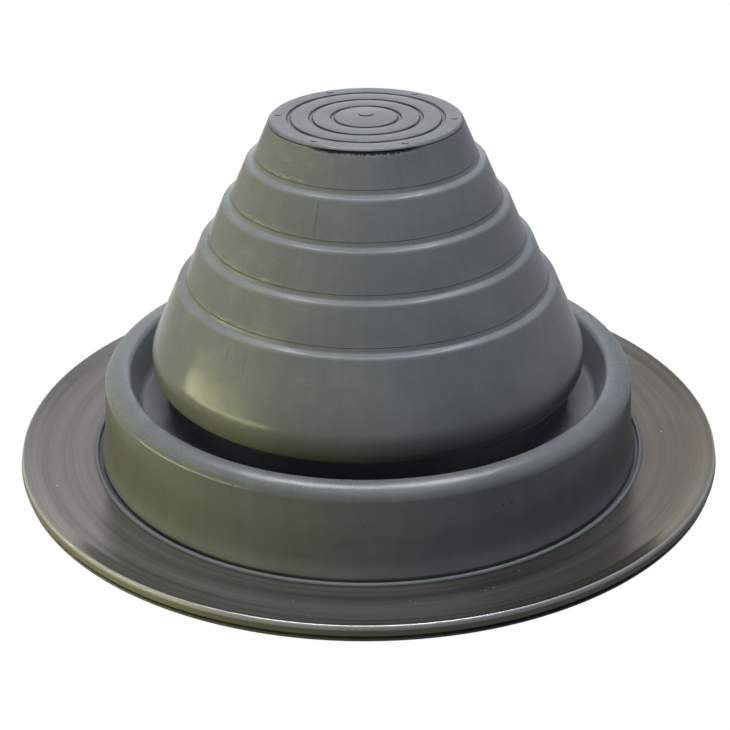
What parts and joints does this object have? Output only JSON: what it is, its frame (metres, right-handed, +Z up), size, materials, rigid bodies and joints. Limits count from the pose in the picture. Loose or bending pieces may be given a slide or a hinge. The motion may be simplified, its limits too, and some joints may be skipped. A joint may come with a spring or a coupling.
{
  "type": "pipe flashing boot",
  "caption": "Round-base roof pipe flashing: a stepped grey rubber cone with a closed top and a folded base, on a flange with a bonded aluminium ring.",
  "frame": {"origin": "centre of the underside of the round flange, where it sits on the roof", "axes": "+Z up along the cone's axis, towards the closed top"},
  "size_m": [0.201, 0.201, 0.0982],
  "materials": {
    "rubber": "satin",
    "ring_metal": "satin"
  },
  "bodies": {
    "root": {"rubber_boot": "rubber", "base_ring": "ring_metal"}
  },
  "joints": []
}
